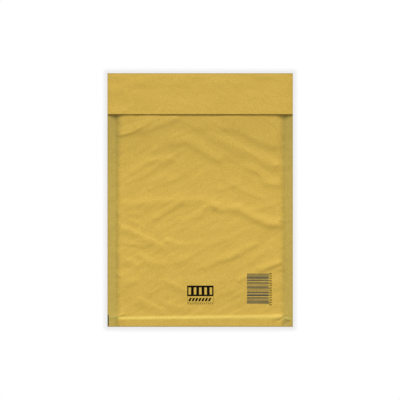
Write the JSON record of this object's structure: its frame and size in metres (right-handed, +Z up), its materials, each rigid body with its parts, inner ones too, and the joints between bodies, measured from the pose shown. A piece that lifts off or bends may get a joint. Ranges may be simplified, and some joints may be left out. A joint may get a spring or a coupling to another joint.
{
  "type": "bubble mailer",
  "caption": "Padded paper mailer for posting small goods: folded kraft sheet with sealed sides, bubble film lining and a flap folded down over the front.",
  "frame": {"origin": "bottom centre of the whole mailer, on the surface that its back lies on", "axes": "+Z up out of the printed front, +Y from the bottom fold towards the fold of the flap, +X to the right of someone who looks down on the front"},
  "size_m": [0.201, 0.275, 0.0087],
  "materials": {
    "kraft": "matt gold-brown kraft paper",
    "film": "clear polyethylene bubble film",
    "adhesive": "tacky adhesive",
    "liner": "smooth white siliconed paper"
  },
  "bodies": {
    "root": {"kraft_sheet": "kraft", "bubble_lining": "film", "adhesive_strip": "adhesive", "release_liner": "liner"}
  },
  "joints": []
}
